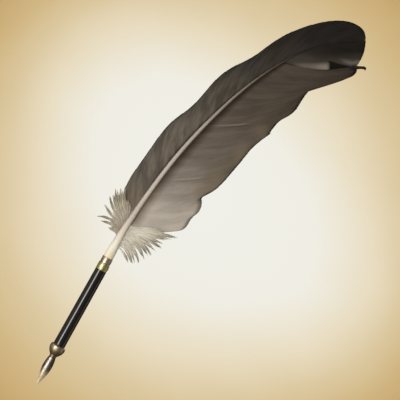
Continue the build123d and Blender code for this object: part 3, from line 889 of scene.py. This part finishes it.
# The back of the shaft's section starts where the cosine of the angle from the front falls below this.
BACK_LIMIT = -0.2
BACK_FLATTENING = 0.95
GROOVE_DEPTH = 0.22
GROOVE_HALF_ANGLE = 0.5


def shaft_depth_share(angle):
    """Depth of the shaft's section over its radius, at an angle from the front: less behind."""
    if math.cos(angle) >= BACK_LIMIT:
        return 1.0
    groove = falloff((angle - math.pi) % (2 * math.pi), GROOVE_HALF_ANGLE)
    return BACK_FLATTENING * (1 - GROOVE_DEPTH * groove)


def build_rachis():
    """The tapering shaft, flattened a little behind and grooved."""
    lean = np.arctan2(np.gradient(SHAFT[:, 0]), np.gradient(SHAFT[:, 1]))
    start = next(i for i in range(len(SHAFT)) if SHAFT[i, 1] >= SHAFT_START_Z)
    rings = [*range(start, len(SHAFT), SHAFT_RING_STEP), len(SHAFT) - 1]
    vertices = []
    for i in rings:
        x, z = SHAFT[i]
        radius = shaft_radius(z)
        for a in np.linspace(0, 2 * np.pi, SHAFT_AROUND, endpoint=False):
            sideways = radius * math.sin(a)
            depth = radius * math.cos(a) * shaft_depth_share(a)
            point = (x + math.cos(lean[i]) * sideways, bow(z) - depth, z - math.sin(lean[i]) * sideways)
            vertices.append(point)
    piece = new_mesh("feather_shaft", vertices, strip_faces(1, len(rings), SHAFT_AROUND))
    place(piece, "holder", "shaft_horn", horn_material("shaft_horn"), "rachis")


QUILL_WALL = 0.45
# Outside of the quill: (radius, level).
QUILL_PROFILE = [(2.35, 71.5), (2.62, 76), (2.86, 81), (3.08, 86), (3.24, 91), (3.33, 96), (3.22, 100),
                 (2.98, 104), (2.66, 108)]


def build_calamus():
    """The hollow quill, which the shaft grows out of."""
    outside = smooth_curve(QUILL_PROFILE, 60)
    inside = outside[::-1] - np.array([QUILL_WALL, 0.0])
    horn = horn_material("quill_horn")
    lathe("quill_end", [*outside, *inside], "holder", "quill_horn", horn, "calamus", 96)


# -------- down
# Each lock of down: level of its root on the shaft, a middle point (x, z), its tip (x, z), plumes in it, and
# how far they still spread at its tip. Locks that spread widely are the body of the tuft.
LEADING_LOCKS = [
    (121.6, (-9.2, 129.4), (-13.6, 137.4), 20, 0.40),
    (119.8, (-10.4, 126.6), (-16.2, 136.2), 18, 0.35),
    (118.2, (-11.4, 124.0), (-17.4, 132.4), 18, 0.35),
    (121.0, (-7.8, 127.5), (-12.6, 140.2), 18, 0.35),
    (119.5, (-9.6, 126.2), (-15.2, 138.8), 20, 0.35),
    (118.0, (-11.4, 124.4), (-17.7, 136.2), 22, 0.35),
    (116.5, (-12.2, 122.0), (-19.0, 130.2), 22, 0.35),
    (114.8, (-11.8, 119.4), (-19.0, 123.6), 22, 0.35),
    (112.6, (-10.0, 120.6), (-19.8, 114.0), 26, 0.40),
    (111.0, (-8.6, 116.6), (-16.0, 112.6), 18, 0.35),
    (109.4, (-5.0, 112.4), (-9.6, 111.6), 14, 0.35),
    (120.5, (-4.5, 126.0), (-8.0, 133.0), 56, 3.0),
    (118.0, (-5.0, 122.6), (-10.6, 128.4), 70, 3.2),
    (115.5, (-5.6, 119.4), (-11.2, 123.2), 70, 3.2),
    (113.0, (-5.6, 116.6), (-10.8, 118.4), 60, 2.8),
    (110.5, (-4.0, 113.0), (-8.2, 114.4), 44, 2.0),
]
TRAILING_LOCKS = [
    (118.0, (18.0, 122.8), (34.0, 128.2), 34, 0.60),
    (116.5, (15.5, 119.4), (27.6, 123.2), 18, 0.35),
    (115.0, (15.5, 118.4), (28.4, 116.4), 22, 0.45),
    (113.2, (13.4, 116.4), (24.6, 108.8), 26, 0.50),
    (111.4, (12.2, 113.4), (21.4, 104.6), 24, 0.45),
    (109.0, (10.6, 110.4), (19.2, 101.2), 26, 0.50),
    (105.8, (9.6, 105.4), (15.8, 98.4), 22, 0.40),
    (104.4, (6.8, 103.0), (13.2, 98.0), 22, 0.40),
    (117.2, (16.0, 120.0), (31.0, 125.2), 16, 0.35),
    (115.8, (15.0, 118.8), (27.0, 119.6), 16, 0.35),
    (114.0, (14.2, 117.2), (25.8, 112.8), 16, 0.35),
    (112.2, (12.6, 114.8), (22.4, 107.6), 16, 0.35),
    (107.4, (9.6, 108.4), (16.8, 99.6), 16, 0.35),
    (118.0, (11.6, 121.6), (25.0, 125.4), 66, 2.4),
    (116.0, (10.6, 118.8), (22.6, 120.2), 74, 3.2),
    (113.6, (9.0, 115.6), (17.8, 114.8), 74, 3.4),
    (110.8, (7.4, 112.2), (14.6, 109.8), 66, 3.2),
    (108.0, (6.0, 109.0), (11.2, 105.4), 50, 2.4),
]
BODY_SPREAD = 1.0
# How far the middles of a pointed lock and of a body lock fan out, and how far a body plume darkens.
POINTED_FAN = 2.0
BODY_FAN = 3.4
BODY_REACH = 0.62
PLUME_STEPS = 12
PLUME_HALF_WIDTH = 0.30
PLUME_FACES = strip_faces(1, PLUME_STEPS, 4)
BARBULES = 26
BARBULE_HALF_WIDTH = 0.035
BARBULE_FACES = [(0, 1, 3), (1, 2, 3), (2, 0, 3), (2, 1, 0)]


class Tufts:
    """Collects the closed plumes and barbules of one piece of down."""

    def __init__(self):
        self.vertices = []
        self.faces = []
        self.values = {"across": [], "edge": [], "strand": []}

    def add(self, points, faces, across, edge, strand):
        """Adds one closed solid; across is one number for each of its points."""
        base = len(self.vertices)
        self.faces += [tuple(base + v for v in face) for face in faces]
        self.vertices += points
        self.values["across"] += across
        self.values["edge"] += [edge] * len(points)
        self.values["strand"] += [strand] * len(points)

    def plume(self, path, ahead, edge, strand, reach):
        """A flat strip with a diamond section that narrows to its tip; reach scales how far it darkens."""
        share = np.linspace(0, 1, len(path))
        w = PLUME_HALF_WIDTH * (1 - 0.8 * share)
        flat = 0 * w
        sideways = np.column_stack([-ahead[:, 2] * w, flat, ahead[:, 0] * w])
        thick = np.column_stack([flat, 0.3 * w, flat])
        ring = np.stack([path - sideways, path - thick, path + sideways, path + thick], axis=1)
        across = np.repeat(share * reach, 4).tolist()
        self.add(ring.reshape(-1, 3).tolist(), PLUME_FACES, across, edge, strand)

    def barbule(self, root, ahead, sideways, length, across, edge, strand):
        """A fine spike, three-sided, leaning forward off its plume."""
        along = ahead * BARBULE_HALF_WIDTH
        tip = root + (ahead * 0.86 + sideways * 0.5) * length
        corners = [root + along, root - along, root + np.array([0, -BARBULE_HALF_WIDTH, 0]), tip]
        self.add([tuple(corner) for corner in corners], BARBULE_FACES, [across] * 4, edge, strand)


def plume_path(rng, side, lock, place_across):
    """A plume from the shaft to its lock's tip; place_across is -1 to 1 over the lock's width."""
    level, middle, tip, _, tip_spread = lock
    root_z = level + 2.0 * place_across + rng.gauss(0, 0.2)
    start = np.array([float(shaft_x(root_z)) + side * 0.8, rng.uniform(-0.9, 0.3), root_z])
    long = 1 - abs(rng.gauss(0, 0.10)) - 0.16 * place_across**2
    fan = POINTED_FAN if tip_spread < BODY_SPREAD else BODY_FAN
    spread = fan * place_across + rng.gauss(0, 0.3)
    lean = np.array([tip[0] - start[0], 0, tip[1] - start[2]])
    lean /= np.linalg.norm(lean)
    normal = np.array([-lean[2], 0, lean[0]]) * -side
    end_spread = tip_spread * place_across + rng.gauss(0, 0.2)
    control = np.array([middle[0], rng.gauss(-0.5, 0.5), middle[1]]) + normal * spread
    end = np.array([tip[0], rng.gauss(-0.2, 0.7), tip[1]]) + normal * end_spread
    t = np.linspace(0, long, PLUME_STEPS)[:, None]
    return (1 - t) ** 2 * start + 2 * t * (1 - t) * control + t**2 * end


def add_barbules(tufts, rng, path, ahead, edge, strand, reach):
    """Pairs of barbules up both sides of a plume, shorter towards its tip."""
    for m in range(BARBULES):
        where = 0.05 + 0.93 * (m + rng.random()) / BARBULES
        at = where * (PLUME_STEPS - 1)
        i = min(PLUME_STEPS - 2, int(at))
        root = path[i] + (path[i + 1] - path[i]) * (at - i)
        for hand in (-1, 1):
            sideways = np.array([-ahead[i, 2], rng.gauss(0, 0.3), ahead[i, 0]]) * hand
            length = rng.uniform(0.5, 1.3) * (1 - 0.5 * where)
            tufts.barbule(root, ahead[i], sideways, length, where * reach, edge, strand)


def build_down(name, seed, side, locks, node_name, material):
    """Down gathered into pointed locks: plumes spread along the shaft that close up at each lock's tip."""
    rng = random.Random(seed)
    tufts = Tufts()
    for lock in locks:
        plumes, tip_spread = lock[3:]
        pointed = tip_spread < BODY_SPREAD
        for k in range(plumes):
            place_across = 2 * (k + 0.5) / plumes - 1
            path = plume_path(rng, side, lock, place_across)
            edge = abs(place_across) if pointed else 0.98 * rng.random()
            strand = rng.random()
            reach = 1.0 if pointed else BODY_REACH
            ahead = unit(np.gradient(path, axis=0))
            tufts.plume(path, ahead, edge, strand, reach)
            add_barbules(tufts, rng, path, ahead, edge, strand, reach)
    piece = new_mesh(name, tufts.vertices, tufts.faces, tufts.values)
    crisp(piece, SMOOTH_ANGLE)
    place(piece, "holder", "pale_down", material, node_name)


def build_all_down():
    left = down_material("leading_down_barbs", (0.0, 140, 128, 113), (0.18, 168, 156, 141),
                         (0.38, 188, 177, 160), (0.6, 196, 186, 167), (1.0, 146, 138, 114))
    right = down_material("trailing_down_barbs", (0.0, 180, 171, 157), (0.18, 206, 198, 183),
                          (0.4, 224, 217, 202), (0.68, 214, 206, 188), (1.0, 112, 104, 78))
    build_down("leading_down_tufts", 21, -1, LEADING_LOCKS, "leading_down", left)
    build_down("trailing_down_tufts", 22, 1, TRAILING_LOCKS, "trailing_down", right)


# -------- turned parts
BEAD = 0.28


def bead(radius, front_z):
    """A raised half-round ring on a turned part."""
    return arc((radius, front_z + BEAD), BEAD, -90, 90, 10)


# Outlines of the turned parts: (radius, level) corners.
BARREL = [
    (3.35, 29.4), (3.80, 29.4), *arc((3.80, 29.57), 0.17, -90, 0, 6), (3.955, 33), (3.925, 43), (3.895, 56),
    (3.85, 70), (3.80, 85.03), *arc((3.63, 85.03), 0.17, 0, 90, 6), (3.35, 85.2),
]
FERRULE = [
    (3.08, 78.2), (3.35, 78.2), (3.35, 85.2), (3.77, 85.2), *bead(3.77, 85.2), (3.70, 85.85), (3.74, 86.1),
    (3.86, 86.6), (3.95, 87.4), (3.90, 88.3), (3.76, 88.9), (3.70, 89.06), *bead(3.77, 89.7 - 2 * BEAD),
    (3.42, 89.7), (3.42, 86.0), (3.08, 85.2),
]
QUILL_RING = [
    (3.42, 89.7), (3.47, 89.7), *bead(3.47, 89.7), (3.42, 90.35), (3.52, 90.8), (3.62, 91.6), (3.60, 92.6),
    (3.50, 93.3), (3.44, 93.6), *bead(3.47, 94.2 - 2 * BEAD), (3.42, 94.2),
]
BELL_FLANK = [(2.55, 21.9), (2.85, 22.05), (3.45, 22.7), (4.45, 24.2), (4.85, 25.1), (5.05, 25.7),
              (5.2, 26.35)]
BELL_SHOULDER = [(5.25, 27.7), (5.17, 28.2), (4.98, 28.55), (4.7, 28.85), (4.3, 29.1)]
COLLAR = [
    (2.3, 21.4), (2.42, 21.4), *arc((2.42, 21.55), 0.15, -90, 0, 5), *smooth_curve(BELL_FLANK, 30),
    (5.25, 26.5), *smooth_curve(BELL_SHOULDER, 12), (2.66, 29.1), (2.66, 38.4), (2.3, 38.4),
]
SOCKET = [
    (2.05, 20.0), (2.12, 19.9), (2.2, 19.9), *arc((2.2, 20.0), 0.1, -90, 0, 4), (2.3, 33.0), (2.05, 33.0),
]
# Name, outline, body, record slot, CAD node and segments.
TURNED = [
    ("lacquered_barrel", BARREL, "holder", "black_lacquer", "barrel_tube", 160),
    ("rear_ferrule_band", FERRULE, "holder", "bright_brass", "rear_ferrule", 160),
    ("quill_ring_band", QUILL_RING, "holder", "aged_brass", "quill_ring", 160),
    ("front_collar_bell", COLLAR, "collar", "aged_brass", "front_collar", 160),
    ("nib_socket_tube", SOCKET, "collar", "aged_brass", "nib_socket", 128),
]


def build_holder():
    """The turned parts, and materials for the hidden parts that keep their CAD shape."""
    bright = brass_material("bright_brass", (240, 232, 168), (216, 204, 118), (120, 106, 44), 0.5, 0.34)
    aged = brass_material("aged_brass", (226, 216, 196), (172, 158, 122), (62, 50, 28), 0.55, 0.40)
    skins = {"black_lacquer": lacquer_material("black_lacquer"), "bright_brass": bright, "aged_brass": aged}
    for name, outline, body, slot, node_name, segments in TURNED:
        crisp(lathe(name, outline, body, slot, skins[slot], node_name, segments))
    hidden = {
        "nib_spring": steel_material("spring_steel", (150, 152, 156), (96, 98, 104), 0.3),
        "collar_washer": mottled_material("washer_fibre", (34, 22, 17), (54, 36, 28), 900, 0.7),
        "front_bush": bright,
        "feather_glue": mottled_material("set_glue", (150, 118, 66), (196, 168, 112), 300, 0.35),
    }
    for name, material in hidden.items():
        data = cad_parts[name].data
        data.materials.clear()
        data.materials.append(material)


# -------- nib
# Level, the sheet's radius, half the angle it wraps in degrees, and the depth of its ridge.
NIB_TAPER = [
    (0.0, 1.5, 11.0, -0.35),
    (3.0, 2.1, 31.0, -0.68),
    (6.0, 2.7, 47.0, -1.00),
    (9.0, 3.2, 58.5, -1.30),
    (12.0, 3.4, 66.0, -1.56),
    (15.0, 3.3, 71.5, -1.78),
    (17.5, 2.95, 76.0, -1.93),
    (19.7, 2.03, 100.0, -2.03),
]
NIB_HEEL = [(21.0, 2.03, 100.0, -2.03), (31.2, 2.03, 100.0, -2.03)]
NIB_END_Z = 31.2
SHEET = 0.25
SHEET_COLUMNS = 18
SHEET_EDGE_ANGLE = 40
VENT_Z = 11.5
VENT_RADIUS = 0.55
SLIT_HALF = 0.04
NIB_SECTIONS = np.vstack([smooth_curve(NIB_TAPER, 400), NIB_HEEL])


def nib_section(z):
    """The sheet's radius, half angle and ridge at a level."""
    return [float(np.interp(z, NIB_SECTIONS[:, 0], NIB_SECTIONS[:, column])) for column in (1, 2, 3)]


def sheet_bends(z, side):
    """Angles across the sheet from its ridge: left (-1) or right (1) of the slit, or its whole width (0)."""
    radius, half, _ = nib_section(z)
    half = math.radians(half)
    share = np.linspace(0, 1, SHEET_COLUMNS + 1)
    if not side:
        return half * (2 * share - 1)
    open_half = SLIT_HALF if z < VENT_Z else 0.0
    if abs(z - VENT_Z) < VENT_RADIUS:
        open_half = max(open_half, math.sqrt(VENT_RADIUS**2 - (z - VENT_Z) ** 2))
    first = math.asin(open_half / radius)
    return np.sort(side * (first + (half - first) * share))


def nib_sheet(name, levels, side):
    """A closed piece of the bent sheet between the first and last of the levels."""
    vertices = []
    for z in levels:
        radius, _, ridge = nib_section(z)
        bends = sheet_bends(z, side)
        for r, row in ((radius, bends), (radius - SHEET, bends[::-1])):
            vertices += [(r * math.sin(a), ridge + radius - r * math.cos(a), z) for a in row]
    piece = new_mesh(name, vertices, strip_faces(1, len(levels), 2 * (SHEET_COLUMNS + 1)))
    crisp(piece, SHEET_EDGE_ANGLE)
    return piece


def build_nib():
    """The nib's body, and its two tines either side of the slit below the vent."""
    material = steel_material("nib_steel", (208, 198, 190), (146, 134, 122), 0.40)
    meeting = VENT_Z + VENT_RADIUS
    round_vent = VENT_Z - VENT_RADIUS * np.cos(np.linspace(0, np.pi, 17))
    tine_levels = np.unique(np.round(np.concatenate([np.linspace(0, 10.9, 60), round_vent, [meeting]]), 5))
    body_levels = np.concatenate([np.linspace(meeting, 21, 50), np.linspace(21.5, NIB_END_Z, 12)])
    place(nib_sheet("nib_body_sheet", body_levels, 0), "nib", "nib_steel", material, "nib_body")
    for side, word in ((-1, "left"), (1, "right")):
        tine = nib_sheet(f"nib_tine_{word}_sheet", tine_levels, side)
        tine.data.materials.append(material)
        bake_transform(tine)
        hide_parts(f"nib_tine_{word}")


# -------- stage
FLOOR_HALF_SIDE = 60
FLOOR_Z = -0.035
PICTURE_MIDDLE = (0.5, 0.5, 0.0)
# Where the backdrop is paler than its distance from the middle would make it, in window coordinates.
PALE_SPOTS = [(0.27, 0.82, 0.0), (0.84, 0.24, 0.0)]
TOWARDS_KEY = (-0.74, -0.62, 0.26)


def backdrop_colour(look):
    """Pale in the middle of the picture and tan towards its corners."""
    window = look.coordinates("Window")
    distance = look.vector_maths("DISTANCE", window, PICTURE_MIDDLE)
    cloud = look.maths("SUBTRACT", look.noise(window, 5.0, 3.0), 0.5)
    distance = look.linear(cloud, 0.05, distance)
    for centre in PALE_SPOTS:
        away = look.vector_maths("DISTANCE", window, centre)
        glow = look.ramp(away, (0.0, 1.0), (0.12, 0.8), (0.24, 0.3), (0.38, 0.0))
        distance = look.linear(glow, -0.10, distance)
    return look.ramp(distance, (0.0, 240, 239, 233), (0.24, 240, 238, 228), (0.38, 233, 221, 194),
                     (0.49, 221, 202, 163), (0.60, 210, 184, 134), (0.70, 199, 167, 112))


def build_floor():
    """A floor below every pose, which the camera sees as backdrop and other rays as a soft glow."""
    side = FLOOR_HALF_SIDE
    corners = [(x, y, FLOOR_Z) for x, y in ((-side, -side), (side, -side), (side, side), (-side, side))]
    mesh = bpy.data.meshes.new("floor")
    mesh.from_pydata(corners, [], [(0, 1, 2, 3)])
    floor = in_scene("floor", mesh)
    look = shading("pale_floor")
    seen = look.node("LightPath").outputs["Is Camera Ray"]
    shown = look.node("Emission", {"Color": backdrop_colour(look), "Strength": 1.0})
    lit = look.node("Emission", {"Color": (0.84, 0.80, 0.74, 1), "Strength": 0.50})
    both = look.node("MixShader", {0: seen, 1: lit.outputs[0], 2: shown.outputs[0]})
    look.node("OutputMaterial", {"Surface": both.outputs[0]})
    mesh.materials.append(look.owner)
    floor.visible_glossy = False
    floor.visible_shadow = False


def build_world():
    """The backdrop for the camera, a dim studio for reflections and even light for the rest."""
    world = bpy.data.worlds.new("studio")
    bpy.context.scene.world = world
    look = Shading(world)
    ray = look.node("LightPath").outputs
    facing = look.vector_maths("DOT_PRODUCT", look.coordinates("Generated"), TOWARDS_KEY)
    studio = look.ramp(look.span(facing, -1, 1), (0.0, (0.050, 0.038, 0.028)), (0.3, (0.06, 0.046, 0.036)),
                       (0.55, (0.13, 0.11, 0.09)), (0.8, (0.16, 0.14, 0.12)), (1.0, (0.40, 0.38, 0.36)))
    ambient = look.mix(ray["Is Glossy Ray"], (0.42, 0.41, 0.39, 1), studio)
    colour = look.mix(ray["Is Camera Ray"], ambient, backdrop_colour(look))
    sky = look.node("Background", {"Color": colour, "Strength": 1.0})
    look.node("OutputWorld", {"Surface": sky.outputs[0]})


# -------- lights, in metres and watts
PEN_MIDDLE = (0.02, 0.0, 0.12)
NIB_POINT = (0, 0, 0.01)
# Name, place, what it is aimed at, width, height, power and colour.
LIGHTS = [
    ("key", (-0.54, -1.00, 0.12), PEN_MIDDLE, 0.42, 1.7, 12.0, (1.0, 0.98, 0.94)),
    ("nib_card", (-0.16, -1.2, -0.36), NIB_POINT, 0.8, 0.24, 0.26, (1.0, 0.94, 0.88)),
    ("right_card", (0.95, -0.05, 0.10), PEN_MIDDLE, 0.5, 1.4, 0.7, (1.0, 0.93, 0.84)),
    ("back_fill", (0.5, 1.1, 0.5), PEN_MIDDLE, 0.6, 0.6, 2.0, (1.0, 0.97, 0.93)),
]


def build_lights():
    for name, where, target, width, height, power, colour in LIGHTS:
        lamp = bpy.data.lights.new(name, "AREA")
        lamp.shape = "RECTANGLE"
        lamp.size = width
        lamp.size_y = height
        lamp.energy = power
        lamp.color = colour
        holder = in_scene(name, lamp)
        holder.location = where
        ahead = Vector(target) - Vector(where)
        holder.rotation_euler = ahead.to_track_quat("-Z", "Y").to_euler()


# -------- camera
TILT_DEG = 29.28
ELEVATION_DEG = 2.0
LENS_MM = 200.0
SENSOR_MM = 36.0
FAR_CLIP = 200
# Side of the square the picture shows at the pen, and the point at its middle, in metres.
VIEW_SIDE = 0.260
AIM = (0.03375, 0.006, 0.1560)


def build_camera():
    """Looks along +Y from far away, rolled so that the pen leans to the right."""
    camera = bpy.data.cameras.new("camera")
    camera.lens = LENS_MM
    camera.sensor_width = SENSOR_MM
    camera.clip_end = FAR_CLIP
    holder = in_scene("camera", camera)
    distance = VIEW_SIDE * LENS_MM / SENSOR_MM
    up = math.radians(ELEVATION_DEG)
    back = Vector((0, -math.cos(up), math.sin(up)))
    look = (-back).to_track_quat("-Z", "Y").to_matrix().to_4x4()
    roll = Matrix.Rotation(math.radians(TILT_DEG), 4, "Z")
    holder.matrix_world = Matrix.Translation(Vector(AIM) + back * distance) @ look @ roll
    bpy.context.scene.camera = holder


# -------- build
build_holder()
build_nib()
build_calamus()
build_rachis()
build_vanes()
build_all_down()
build_floor()
build_world()
build_lights()
build_camera()
bpy.context.scene.view_settings.view_transform = "Standard"
